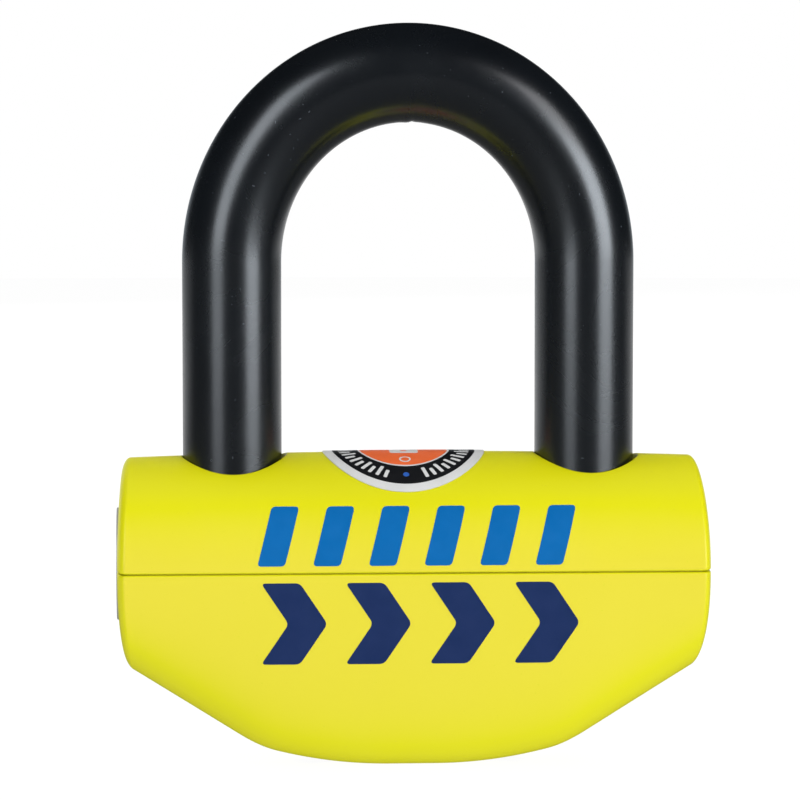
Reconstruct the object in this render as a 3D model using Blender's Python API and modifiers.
"""Motorcycle disc brake lock: a coated U shackle in a steel lock body, closed in a two-part moulded casing.

Frame: origin at the bottom centre of the casing, X along it with the key face at -X, Z up the shackle.
Lengths below are millimetres, angles are degrees.
"""

import math

import bmesh
import bpy
from mathutils import Vector

MM = 0.001

# Casing outline
SEAM_Z = 32.55  # parting line between the two mouldings
SEAM_GAP = 0.3
RIDGE_Z = 50.7  # top of the upper moulding at its middle
RIDGE_DROOP = 0.7  # fall of the ridge at x = DROOP_X
DROOP_X = 43.0
HALF_DEPTH = 16.0
STRAIGHT_X = 46.4  # where the rounding of the ends begins, at the seam
END_ROUND = 1.4  # how far the ends stand beyond that
END_POWER = 12.0  # a high power keeps the ends flat up to their rounded rim
UPPER_BARREL, LOWER_BARREL = 0.8, 1.15  # how far the ends fall back at the ridge and at the keel
KEEL_FLAT_X = 4.0  # half length of the flat under the casing
KEEL_FLAT_Y = 4.0
KEEL_ARC = 150.0
RAMP_X, RAMP_Z, RAMP_SLOPE = 45.9, 15.6, 0.616  # the sloping lower corners
LOWER_POWER = 2.4
WALL = 2.2
BLOCK_INSET = 2.6
COVER_SCREW_X = 16.0

# Round label
LABEL_X = -1.2
LABEL_R = 13.2

# Shackle
SHACKLE_X = -0.35  # the mouldings' leg holes leave the shackle a little off their middle
LEG_X = 28.74
BOW_Z = 81.75  # where the legs end and the bow begins
BOW_RISE = 30.65  # the bow's centre line is half an ellipse
BAR_R = 7.0
SLEEVE_R = 8.05
SLEEVE_WALL = 0.95
LEG_HOLE_X, LEG_HOLE_Y = 8.55, 8.2  # half sizes of the oval holes in the upper moulding
LEG_END_Z = 36.6
SLEEVE_END_Z = 46.4
NOTCH_R = 3.2
NOTCH_X = 26.9  # bottom of the notches in the legs

# Lock body
BLOCK_X = 40.2
BLOCK_FLOOR_Z = 9.0
BORE_Z = 29.0  # axis of the cylinder and of the cam drum
BORE_R = 5.65
BOLT_Z = 41.8
BOLT_R = 2.8
BOLT_TRAVEL = 5.0
PIN_X = 7.5  # follower pins, at rest
PLATE_SCREW_X, PLATE_SCREW_Y = 15.5, 4.6
RETAINING_PIN_X = -30.0

# Key face
FACE_Z = SEAM_Z
FACE_R = 9.15
DISH_R = 8.6  # the dust cover swings inside this dish
NOSE_R = 3.1
PIVOT_Z = 33.9  # pivot of the dust cover


def start_scene():
    for obj in list(bpy.data.objects):
        bpy.data.objects.remove(obj, do_unlink=True)
    lock = bpy.data.collections.new("disc_brake_lock")
    cutters = bpy.data.collections.new("cutters")
    bpy.context.scene.collection.children.link(lock)
    bpy.context.scene.collection.children.link(cutters)
    return lock, cutters


LOCK, CUTTERS = start_scene()


def material(name, colour, roughness, metallic=0.0):
    made = bpy.data.materials.new(name)
    made.use_nodes = True
    shader = made.node_tree.nodes["Principled BSDF"]
    shader.inputs["Base Color"].default_value = (*colour, 1.0)
    shader.inputs["Roughness"].default_value = roughness
    shader.inputs["Metallic"].default_value = metallic
    made.diffuse_color = (*colour, 1.0)
    return made


YELLOW = material("yellow_casing", (0.80, 0.74, 0.03), 0.38)
BLACK = material("black_coating", (0.012, 0.013, 0.015), 0.45)
LABEL = material("label_film", (0.55, 0.55, 0.56), 0.35)
HARD_STEEL = material("hardened_steel", (0.42, 0.43, 0.45), 0.32, 1.0)
CAST_STEEL = material("cast_steel", (0.20, 0.20, 0.21), 0.55, 1.0)
BRASS = material("brass", (0.72, 0.50, 0.20), 0.30, 1.0)
ZINC = material("plated_zinc", (0.60, 0.61, 0.63), 0.28, 1.0)
STAINLESS = material("stainless_sheet", (0.66, 0.66, 0.67), 0.25, 1.0)


def place(obj, location, rotation):
    obj.location = Vector(location) * MM
    obj.rotation_euler = rotation
    return obj


def as_part(obj, look):
    LOCK.objects.link(obj)
    obj.data.materials.append(look)
    if obj.data.polygons:
        obj.data.shade_smooth()
        obj.data.set_sharp_from_angle(angle=math.radians(35))
    return obj


def as_cutter(obj):
    CUTTERS.objects.link(obj)
    obj.hide_render = True
    obj.display_type = "WIRE"
    return obj


def mesh_object(name, points, faces, scale=MM):
    mesh = bpy.data.meshes.new(name)
    mesh.from_pydata([tuple(c * scale for c in p) for p in points], [], faces)
    return bpy.data.objects.new(name, mesh)


def fix_normals(obj):
    """Flat faces only, all facing out."""
    work = bmesh.new()
    work.from_mesh(obj.data)
    bmesh.ops.triangulate(work, faces=work.faces)
    bmesh.ops.recalc_face_normals(work, faces=work.faces)
    work.to_mesh(obj.data)
    work.free()
    return obj


def cut(part, *cutters):
    for cutter in cutters:
        step = part.modifiers.new(f"cut {cutter.name}", "BOOLEAN")
        step.operation = "DIFFERENCE"
        step.solver = "EXACT"
        step.object = cutter


def join(part, *others):
    for other in others:
        step = part.modifiers.new(f"join {other.name}", "BOOLEAN")
        step.operation = "UNION"
        step.solver = "EXACT"
        step.object = other


ALONG_X = (0.0, math.pi / 2, 0.0)
UPRIGHT = (0.0, 0.0, 0.0)


def turned(name, profile, location, rotation=ALONG_X, steps=24, ring=False):
    """A solid of revolution: profile holds (radius, height), down its outer side from the top."""
    mesh = bpy.data.meshes.new(name)
    points = [(radius * MM, 0.0, height * MM) for radius, height in profile]
    count = len(points)
    edges = [(k, k + 1) for k in range(count - 1)]
    if ring:
        edges.append((count - 1, 0))
    mesh.from_pydata(points, edges, [])
    obj = bpy.data.objects.new(name, mesh)
    screw = obj.modifiers.new("turn", "SCREW")
    screw.axis = "Z"
    screw.angle = 2 * math.pi
    screw.steps = steps
    screw.render_steps = steps
    screw.use_merge_vertices = True
    screw.merge_threshold = 0.00001
    return place(obj, location, rotation)


def rod(name, radius, low, high, location, rotation=ALONG_X, steps=24, bevel=0.0):
    profile = [(0, high), (radius - bevel, high), (radius, high - bevel)]
    profile += [(radius, low + bevel), (radius - bevel, low), (0, low)]
    if not bevel:
        profile = [(0, high), (radius, high), (radius, low), (0, low)]
    return turned(name, profile, location, rotation, steps)


def sleeve(name, outer, inner, low, high, location, rotation=ALONG_X, steps=24):
    profile = [(outer, high), (outer, low), (inner, low), (inner, high)]
    return turned(name, profile, location, rotation, steps, ring=True)


def block(name, low, high):
    """A box between two opposite corners."""
    mesh = bpy.data.meshes.new(name)
    work = bmesh.new()
    bmesh.ops.create_cube(work, size=1.0)
    size = Vector(high) - Vector(low)
    bmesh.ops.scale(work, vec=size * MM, verts=work.verts)
    work.to_mesh(mesh)
    work.free()
    return place(bpy.data.objects.new(name, mesh), (Vector(low) + Vector(high)) / 2, UPRIGHT)


def oval_prism(name, half_x, half_y, low, high, x, steps=48):
    """An upright prism of oval section, centred on y = 0."""
    turns = [2 * math.pi * k / steps for k in range(steps)]
    points = [(x + half_x * math.cos(t), half_y * math.sin(t), z) for z in (low, high) for t in turns]
    faces = [tuple(range(steps)), tuple(range(steps, 2 * steps))]
    for k in range(steps):
        after = (k + 1) % steps
        faces.append((k, after, steps + after, steps + k))
    return fix_normals(mesh_object(name, points, faces))


def swept(name, path, radius, resolution, caps=True):
    """A round bar along a path, as a mesh."""
    curve = bpy.data.curves.new(name, "CURVE")
    curve.dimensions = "3D"
    curve.bevel_depth = radius * MM
    curve.bevel_resolution = resolution
    curve.use_fill_caps = caps
    line = curve.splines.new("POLY")
    line.points.add(len(path) - 1)
    for point, where in zip(line.points, path):
        point.co = (*(Vector(where) * MM), 1.0)
    guide = bpy.data.objects.new(name + "_path", curve)
    mesh = bpy.data.meshes.new_from_object(guide)
    bpy.data.objects.remove(guide, do_unlink=True)
    work = bmesh.new()
    work.from_mesh(mesh)
    bmesh.ops.remove_doubles(work, verts=work.verts, dist=1e-6)
    if caps:
        bmesh.ops.recalc_face_normals(work, faces=work.faces)
    work.to_mesh(mesh)
    work.free()
    mesh.name = name
    return bpy.data.objects.new(name, mesh)


# ---- casing surface -------------------------------------------------------------------------------------


def ridge_z(x):
    return RIDGE_Z - RIDGE_DROOP * (x / DROOP_X) ** 2


def keel_z(x):
    arc = max(abs(x) - KEEL_FLAT_X, 0.0) ** 2 / KEEL_ARC
    ramp = RAMP_Z + RAMP_SLOPE * (abs(x) - RAMP_X)
    near = max(1.0 - abs(arc - ramp), 0.0)
    return max(arc, ramp) + near * near / 4.0


def keel_lean(x):
    slope = (keel_z(abs(x) + 0.05) - keel_z(abs(x) - 0.05)) / 0.1
    return math.hypot(1.0, slope)


def casing_point(share, shrink, inset, angle):
    """A point of the casing, moved inwards by inset.

    share runs -1 to 1 along the straight part, shrink 1 to 0 towards the tip of a rounded end, and angle
    turns in the section from +Y over the ridge.
    """
    level = share * (STRAIGHT_X - inset)
    half = (HALF_DEPTH - inset) * shrink
    turn = math.radians(angle)
    across, up = math.cos(turn), math.sin(turn)
    level += math.copysign(END_ROUND * math.sqrt(1.0 - shrink**END_POWER), share)
    x = level - share * (UPPER_BARREL if up >= 0.0 else LOWER_BARREL) * (shrink * up) ** 2
    if up >= 0.0:
        rise = (ridge_z(level) - SEAM_Z - inset) * shrink
        return x, half * across, SEAM_Z + rise * up
    drop = (SEAM_Z - keel_z(level) - inset * keel_lean(level)) * shrink
    flat = KEEL_FLAT_Y * shrink
    wide = flat + (half - flat) * abs(across) ** (2.0 / LOWER_POWER)
    return x, math.copysign(wide, across), SEAM_Z - drop * abs(up) ** (2.0 / LOWER_POWER)


# Stations along the straight part, closer where the keel bends into its ramps
SHARES = (-1, -0.91, -0.8, -0.69, -0.6, -0.53, -0.42, -0.32, -0.2, -KEEL_FLAT_X / STRAIGHT_X)
SHARES = SHARES + tuple(-s for s in reversed(SHARES))
SHRINKS = (0.996, 0.98, 0.955, 0.92, 0.86, 0.7, 0.45)  # sections of a rounded end, from its rim to its tip
UPPER_ANGLES = tuple(range(0, 181, 15))
LOWER_ANGLES = (180, 196, 212, 228, 243, 257, 269.99)
LOWER_ANGLES = LOWER_ANGLES + tuple(540 - a for a in reversed(LOWER_ANGLES))


def stations(shares):
    left = [(-1.0, s) for s in reversed(SHRINKS)]
    right = [(1.0, s) for s in SHRINKS]
    return left + [(float(s), 1.0) for s in shares] + right


def cover_shell(name, shares, angles, rim):
    """Half of the casing as a closed shell.

    rim holds the steps of its edge at the seam, from the outer skin to the inner one, as (inset, height).
    """
    places = stations(shares)
    rows, columns = len(places), len(angles)
    points, faces = [], []

    def skin(inset, seam_height):
        first = len(points)
        for share, shrink in places:
            for k, angle in enumerate(angles):
                x, y, z = casing_point(share, shrink, inset, angle)
                points.append((x, y, seam_height if k in (0, columns - 1) else z))
        for i in range(rows - 1):
            for k in range(columns - 1):
                a = first + i * columns + k
                faces.append((a, a + 1, a + columns + 1, a + columns))
        faces.append(tuple(first + k for k in range(columns)))
        faces.append(tuple(first + (rows - 1) * columns + k for k in range(columns)))
        near = [first + i * columns for i in range(rows)]
        far = [first + i * columns + columns - 1 for i in range(rows)]
        return near + far[::-1]

    def rim_loop(inset, height):
        first = len(points)
        for angle, order in ((angles[0], places), (angles[-1], places[::-1])):
            for share, shrink in order:
                x, y, _ = casing_point(share, shrink, inset, angle)
                points.append((x, y, SEAM_Z + height))
        return list(range(first, len(points)))

    loops = [skin(rim[0][0], SEAM_Z + rim[0][1])]
    loops += [rim_loop(inset, height) for inset, height in rim[1:-1]]
    loops.append(skin(rim[-1][0], SEAM_Z + rim[-1][1]))
    for outer, inner in zip(loops, loops[1:]):
        for k, corner in enumerate(outer):
            after = (k + 1) % len(outer)
            faces.append((corner, outer[after], inner[after], inner[k]))
    return fix_normals(mesh_object(name, points, faces))


def casing_core(name, shares, inset):
    """The solid that fills the straight part of the casing inside inset, in plane sections."""
    angles = UPPER_ANGLES[:-1] + LOWER_ANGLES[:-1]
    count = len(angles)
    points, faces = [], []
    for share in shares:
        x = share * (STRAIGHT_X - inset)
        for angle in angles:
            barrel = UPPER_BARREL if angle <= 180 else LOWER_BARREL
            fall = barrel * math.sin(math.radians(angle)) ** 2 / (STRAIGHT_X - inset)
            _, y, z = casing_point(share / (1.0 - fall), 1.0, inset, angle)
            points.append((x, y, z))
    for i in range(len(shares) - 1):
        for k in range(count):
            a, b = i * count + k, i * count + (k + 1) % count
            faces.append((a, b, b + count, a + count))
    faces.append(tuple(range(count)))
    faces.append(tuple(range((len(shares) - 1) * count, len(shares) * count)))
    return fix_normals(mesh_object(name, points, faces))


# ---- shackle --------------------------------------------------------------------------------------------


def shackle_path(end_z):
    """The centre line of the bar: two legs joined by half an ellipse."""
    path = [(SHACKLE_X - LEG_X, 0, end_z)]
    for k in range(19):
        turn = math.radians(180 - 10 * k)
        path.append((SHACKLE_X + LEG_X * math.cos(turn), 0, BOW_Z + BOW_RISE * math.sin(turn)))
    return path + [(SHACKLE_X + LEG_X, 0, end_z)]


def make_shackle():
    core = swept("shackle_core", shackle_path(LEG_END_Z), BAR_R, 8)
    work = bmesh.new()
    work.from_mesh(core.data)
    end = (LEG_END_Z + 0.01) * MM
    rims = [e for e in work.edges if all(v.co.z < end for v in e.verts)]
    bmesh.ops.bevel(work, geom=rims, offset=1.0 * MM, segments=1, affect="EDGES", clamp_overlap=True)
    work.to_mesh(core.data)
    work.free()
    as_part(core, HARD_STEEL)
    for side in (-1, 1):
        reach = sorted((side * NOTCH_X, side * (LEG_X - BAR_R - 3)))
        notch = rod(f"notch_{side}", NOTCH_R, reach[0], reach[1], (SHACKLE_X, 0, BOLT_Z), steps=16)
        cut(core, as_cutter(notch))

    coat = swept("shackle_sleeve", shackle_path(SLEEVE_END_Z), SLEEVE_R, 8, caps=False)
    shell = coat.modifiers.new("wall", "SOLIDIFY")
    shell.thickness = SLEEVE_WALL * MM
    shell.offset = -1.0
    shell.use_even_offset = True
    as_part(coat, BLACK)


# ---- casing ---------------------------------------------------------------------------------------------


def ridge_walk(length):
    """Where a tape laid across the ridge from its top reaches, as (y, z) and the unit normal there."""
    semi_y, semi_z = HALF_DEPTH, RIDGE_Z - SEAM_Z
    turn, walked, step = 0.0, 0.0, 0.002
    while walked < abs(length):
        walked += step * math.hypot(semi_y * math.cos(turn), semi_z * math.sin(turn))
        turn += step
    y, z = semi_y * math.sin(turn), SEAM_Z + semi_z * math.cos(turn)
    normal = Vector((y / semi_y**2, (z - SEAM_Z) / semi_z**2)).normalized()
    side = math.copysign(1.0, length)
    return side * y, z, side * normal.x, normal.y


def make_label():
    """The round film label wrapped over the ridge between the legs."""
    centre_x, sectors = LABEL_X, 28
    points, faces = [], []
    for lift in (0.35, 0.12):
        for radius in (0.0, LABEL_R / 3, 2 * LABEL_R / 3, LABEL_R):
            for k in range(sectors if radius else 1):
                turn = 2 * math.pi * k / sectors
                y, z, ny, nz = ridge_walk(radius * math.sin(turn))
                x = centre_x + radius * math.cos(turn)
                points.append((x, y + lift * ny, z + lift * nz))
    layer = len(points) // 2
    for base in (0, layer):
        for k in range(sectors):
            after = (k + 1) % sectors
            faces.append((base, base + 1 + k, base + 1 + after))
            for ring in range(2):
                a = base + 1 + ring * sectors
                faces.append((a + k, a + after, a + sectors + after, a + sectors + k))
    rim = 1 + 2 * sectors
    for k in range(sectors):
        after = (k + 1) % sectors
        faces.append((rim + k, rim + after, layer + rim + after, layer + rim + k))
    as_part(fix_normals(mesh_object("round_label", points, faces)), LABEL)


def make_casing():
    half_gap = SEAM_GAP / 2
    upper_rim = ((0, 0.35), (0.3, half_gap), (1.2, half_gap), (1.2, 1.4), (WALL, 1.4))
    lower_rim = ((0, -0.35), (0.3, -half_gap), (1.4, -half_gap), (1.4, 1.1), (WALL, 1.1))
    upper_shares = (-1, -0.8, -0.5, 0, 0.5, 0.8, 1)
    upper = as_part(cover_shell("upper_cover", upper_shares, UPPER_ANGLES, upper_rim), YELLOW)
    lower = as_part(cover_shell("lower_cover", SHARES, LOWER_ANGLES, lower_rim), YELLOW)
    face_hole = as_cutter(rod("face_hole", FACE_R + 0.2, -60, -40, (0, 0, FACE_Z), steps=32))
    for side in (-1, 1):
        cut(upper, as_cutter(oval_prism(f"leg_hole_{side}", LEG_HOLE_X, LEG_HOLE_Y, 42, 60, side * LEG_X)))
    cut(upper, face_hole)

    top = BLOCK_FLOOR_Z - 0.3
    inner = []
    for side in (-1, 1):
        where = (side * COVER_SCREW_X, 0, 0)
        inner.append(rod(f"screw_post_{side}", 4.6, 2.2, top, where, UPRIGHT, 20))
    for x in (-8, 0, 8):
        inner.append(block(f"rest_rib_{x}", (x - 0.8, -8, 1.6), (x + 0.8, 8, top)))
    join(lower, *[as_cutter(piece) for piece in inner])
    for side, word in ((-1, "left"), (1, "right")):
        where = (side * COVER_SCREW_X, 0, 0)
        head = rod(f"head_recess_{side}", 3.1, -2, 4.4, where, UPRIGHT, 20)
        shank = rod(f"shank_hole_{side}", 1.75, 3, 12, where, UPRIGHT, 16)
        cut(lower, as_cutter(head), as_cutter(shank))
        make_cover_screw(f"lower_cover_screw_{word}", where)
    cut(lower, face_hole)


def make_cover_screw(name, where):
    shank_r, head_r, head_low, head_high, tip = 1.5, 2.8, 1.9, 4.3, 17.0
    profile = [(0, tip), (1.1, tip), (shank_r, tip - 0.6), (shank_r, head_high), (head_r, head_high)]
    profile += [(head_r, head_low + 0.4), (head_r - 0.4, head_low), (0, head_low)]
    screw = as_part(turned(name, profile, where, UPRIGHT, 16), HARD_STEEL)
    cut(screw, as_cutter(rod(f"socket_{name}", 1.25, 0, head_low + 1.5, where, UPRIGHT, 6)))


# ---- lock body ------------------------------------------------------------------------------------------


def make_lock_body():
    last = BLOCK_X / (STRAIGHT_X - BLOCK_INSET)
    shares = [-last] + [s for s in SHARES if abs(s) < 0.9] + [last]
    body = as_part(casing_core("lock_body", shares, BLOCK_INSET), CAST_STEEL)
    retaining = (RETAINING_PIN_X, 0, 0)
    cutters = [block("floor_cut", (-60, -30, -10), (60, 30, BLOCK_FLOOR_Z))]
    for side in (-1, 1):
        cutters.append(rod(f"tapped_hole_{side}", 1.7, 6.3, 17.6, (side * COVER_SCREW_X, 0, 0), UPRIGHT, 14))
    cutters.append(rod("retaining_bore", 1.65, 5, 25, retaining, UPRIGHT, 14))
    cutters.append(rod("main_bore", BORE_R, -50, 18.4, (0, 0, BORE_Z), steps=28))
    cutters.append(rod("journal_bore", 2.2, 18, 20.6, (0, 0, BORE_Z), steps=16))
    cutters.append(block("plate_recess", (-19.2, -6.45, 45.07), (19.2, 6.45, 55)))
    cutters.append(block("pin_window", (-14.2, -1.6, 30), (14.2, 1.6, 50)))
    for side in (-1, 1):
        tap = (side * PLATE_SCREW_X, side * PLATE_SCREW_Y, 0)
        leg = (SHACKLE_X + side * LEG_X, 0, 0)
        cutters.append(rod(f"plate_tap_{side}", 1.15, 39.0, 50, tap, UPRIGHT, 12))
        cutters.append(rod(f"leg_bore_{side}", BAR_R + 0.2, 36.2, 55, leg, UPRIGHT, 24))
        cutters.append(rod(f"sleeve_bore_{side}", SLEEVE_R + 0.3, 46.1, 55, leg, UPRIGHT, 24))
    cutters.append(rod("bolt_channel", 3.0, -25, 50, (0, 0, BOLT_Z), steps=20))
    cut(body, *[as_cutter(c) for c in cutters])

    as_part(rod("bolt_channel_plug", 2.8, 36.4, 40.0, (0, 0, BOLT_Z), steps=20, bevel=0.4), HARD_STEEL)
    as_part(rod("cylinder_retaining_pin", 1.5, 10.7, 23.95, retaining, UPRIGHT, 16, 0.3), HARD_STEEL)
    make_access_plate()


def make_access_plate():
    sides = (6.2, 4.6, 2.4, 0.0, -2.4, -4.6, -6.2)
    low = 45.2
    semi_y, points, faces = HALF_DEPTH - BLOCK_INSET, [], []
    for x in (-18.8, 0.0, 18.8):
        semi_z = ridge_z(x) - SEAM_Z - BLOCK_INSET
        points.append((x, sides[0], low))
        points += [(x, y, SEAM_Z + semi_z * math.sqrt(1 - (y / semi_y) ** 2)) for y in sides]
        points.append((x, sides[-1], low))
    count = len(sides) + 2
    for i in range(2):
        for k in range(count):
            a, b = i * count + k, i * count + (k + 1) % count
            faces.append((a, b, b + count, a + count))
    faces.append(tuple(range(count)))
    faces.append(tuple(range(2 * count, 3 * count)))
    plate = as_part(fix_normals(mesh_object("access_plate", points, faces)), HARD_STEEL)
    for side, word in ((-1, "left"), (1, "right")):
        where = (side * PLATE_SCREW_X, side * PLATE_SCREW_Y, 0)
        cut(plate, as_cutter(rod(f"plate_hole_{side}", 1.15, 40, 50, where, UPRIGHT, 12)))
        cut(plate, as_cutter(rod(f"plate_head_{side}", 1.95, 45.7, 50, where, UPRIGHT, 16)))
        profile = [(0, 46.5), (1.4, 46.5), (1.75, 46.2), (1.75, 45.8)]
        profile += [(1.0, 45.8), (1.0, 40), (0.6, 39.5), (0, 39.5)]
        screw = as_part(turned(f"access_plate_screw_{word}", profile, where, UPRIGHT, 12), HARD_STEEL)
        cut(screw, as_cutter(rod(f"plate_socket_{side}", 0.8, 45.95, 48, where, UPRIGHT, 6)))


# ---- cylinder, cam drum and bolts -----------------------------------------------------------------------


def key_slot(name, low, high):
    return block(name, (low, -0.95, BORE_Z - 2.5), (high, 0.95, BORE_Z + 2.5))


def make_cylinder():
    axis = (0, 0, BORE_Z)
    barrel = as_part(sleeve("cylinder_barrel", 5.5, 4.6, -44.4, -21.4, axis), BRASS)
    cut(barrel, as_cutter(rod("barrel_pin_recess", 1.65, 20, 24.08, (RETAINING_PIN_X, 0, 0), UPRIGHT, 16)))

    profile = [(0, -19.7), (4.5, -19.7), (4.5, -20.2), (3.95, -20.2), (3.95, -21.2), (4.5, -21.2)]
    profile += [(4.5, -44.2), (NOSE_R, -44.2), (NOSE_R, -46.5), (NOSE_R - 0.3, -46.8), (0, -46.8)]
    core = as_part(turned("cylinder_core", profile, axis), BRASS)
    cut(core, as_cutter(rod("core_chamber", 3.5, -43.0, -18.0, axis, steps=20)))
    cut(core, as_cutter(key_slot("nose_slot", -50, -40)))
    slot = block("sidebar_slot", (-41.7, -0.95, BORE_Z + 2.6), (-26.7, 0.95, BORE_Z + 6))
    cut(core, as_cutter(slot))
    as_part(rod("sidebar", 0.75, -41.4, -27.0, (0, 0, BORE_Z + 3.65), steps=12), HARD_STEEL)

    guard = as_part(rod("drill_guard", 3.4, -42.9, -41.8, axis, steps=20), HARD_STEEL)
    slots = as_cutter(key_slot("stack_slot", -43.5, -26.8))
    gate = as_cutter(block("gate_slot", (-41.75, -0.95, BORE_Z + 2.75), (-26.8, 0.95, BORE_Z + 6)))
    cut(guard, slots)
    at = -41.6
    for k in range(1, 7):
        disc = as_part(rod(f"detainer_disc_{k}", 3.4, at, at + 1.6, axis, steps=20), BRASS)
        cut(disc, slots, gate)
        at += 1.7
        if k < 6:
            spacer = as_part(rod(f"spacer_washer_{k}", 3.4, at, at + 0.8, axis, steps=20), BRASS)
            cut(spacer, slots, gate)
            at += 0.9

    profile = [(0, -18.4), (2.4, -18.4), (2.4, -19.9), (3.4, -19.9), (3.4, -26.4), (0, -26.4)]
    tail = as_part(turned("rotor_tailpiece", profile, axis, steps=20), HARD_STEEL)
    tang = block("tailpiece_tang", (-19.0, -0.9, BORE_Z - 2.1), (-15.2, 0.9, BORE_Z + 2.1))
    join(tail, as_cutter(tang))

    ring = as_part(sleeve("core_snap_ring", 5.3, 4.05, -21.1, -20.3, axis), STAINLESS)
    cut(ring, as_cutter(block("ring_gap", (-22, -1.2, BORE_Z - 7), (-19, 1.2, BORE_Z))))


def helix(side):
    """The path that a follower pin takes in the drum, a little longer at both ends."""
    path = []
    for k in range(14):
        degrees = -20 + 10 * k
        turn = math.radians(degrees)
        x = side * (PIN_X + BOLT_TRAVEL * degrees / 90)
        path.append((x, BORE_R * math.sin(turn), BORE_Z + BORE_R * math.cos(turn)))
    return path


def make_cam():
    axis = (0, 0, BORE_Z)
    profile = [(0, 20.2), (1.7, 20.2), (2.0, 19.9), (2.0, 17.2), (5.2, 17.2), (5.5, 16.9)]
    profile += [(5.5, -16.9), (5.2, -17.2), (0, -17.2)]
    drum = as_part(turned("cam_drum", profile, axis, steps=28), HARD_STEEL)
    for side in (-1, 1):
        cut(drum, as_cutter(swept(f"cam_groove_{side}", helix(side), 2.1, 4)))
    cut(drum, as_cutter(block("drum_slot", (-19, -1.1, BORE_Z - 2.4), (-14.6, 1.1, BORE_Z + 2.4))))
    as_part(sleeve("drum_thrust_washer", 5.3, 2.3, 17.4, 18.1, axis, steps=20), STAINLESS)

    for side, word in ((-1, "left"), (1, "right")):
        low, high = sorted((side * 3.0, side * 21.2))
        bolt = rod(f"locking_bolt_{word}", BOLT_R, low, high, (0, 0, BOLT_Z), steps=20, bevel=0.5)
        as_part(bolt, HARD_STEEL)
        where = (side * PIN_X, 0, 0)
        cut(bolt, as_cutter(rod(f"bolt_pin_hole_{word}", 1.4, 35, 44.0, where, UPRIGHT, 16)))
        pin = rod(f"follower_pin_{word}", 1.25, 33.3, 43.8, where, UPRIGHT, 16, 0.2)
        as_part(pin, HARD_STEEL)


# ---- key face -------------------------------------------------------------------------------------------


def drop_plate(name, top_r, bottom_r, drop, low, high):
    """A flat plate round its pivot at the top and wider round a point below it, with straight flanks."""
    flank = math.asin((bottom_r - top_r) / drop)
    outline = []
    for k in range(13):
        turn = math.pi - flank + (math.pi + 2 * flank) * k / 12
        outline.append((bottom_r * math.cos(turn), -drop + bottom_r * math.sin(turn)))
    for k in range(9):
        turn = flank + (math.pi - 2 * flank) * k / 8
        outline.append((top_r * math.cos(turn), top_r * math.sin(turn)))
    count = len(outline)
    points = [(x, y, z) for x in (low, high) for y, z in outline]
    faces = [tuple(range(count)), tuple(range(count, 2 * count))]
    faces += [(k, (k + 1) % count, count + (k + 1) % count, count + k) for k in range(count)]
    return fix_normals(mesh_object(name, points, faces))


def make_key_face():
    """The dished metal face of the lock, and a small plate that swings in the dish over the key slot."""
    front, floor, shoulder, back = -47.95, -47.05, -44.9, -43.4
    profile = [(0, back), (10.3, back), (10.3, shoulder), (FACE_R, shoulder), (FACE_R, front + 0.25)]
    profile += [(FACE_R - 0.2, front), (DISH_R + 0.1, front), (DISH_R, front + 0.1), (DISH_R, floor)]
    profile.append((0, floor))
    bezel = as_part(turned("lock_face_bezel", profile, (0, 0, FACE_Z), steps=32), ZINC)
    cut(bezel, as_cutter(rod("nose_aperture", NOSE_R + 0.25, -50, -42, (0, 0, BORE_Z), steps=24)))
    cut(bezel, as_cutter(rod("barrel_seat", 5.7, -44.65, -40, (0, 0, BORE_Z), steps=28)))
    pivot = (0, 0, PIVOT_Z)
    cut(bezel, as_cutter(rod("pivot_bore", 0.9, -50, -45.0, pivot, steps=16)))

    low, high = -47.85, -47.35
    plate = drop_plate("dust_cover", 2.0, 3.5, PIVOT_Z - BORE_Z, low, high)
    cover = as_part(place(plate, pivot, UPRIGHT), STAINLESS)
    profile = [(0, -46), (0.95, -46), (0.95, high - 0.05), (1.65, low - 0.1), (0, low - 0.1)]
    cut(cover, as_cutter(turned("rivet_sink", profile, pivot, steps=16)))
    profile = [(0, -45.2), (0.8, -45.2), (0.8, high - 0.15), (1.4, low), (0, low)]
    as_part(turned("dust_cover_rivet", profile, pivot, steps=16), HARD_STEEL)
    as_part(sleeve("dust_cover_washer", 1.7, 0.95, -47.3, -47.1, pivot, steps=16), STAINLESS)


make_shackle()
make_casing()
make_label()
make_lock_body()
make_cylinder()
make_cam()
make_key_face()
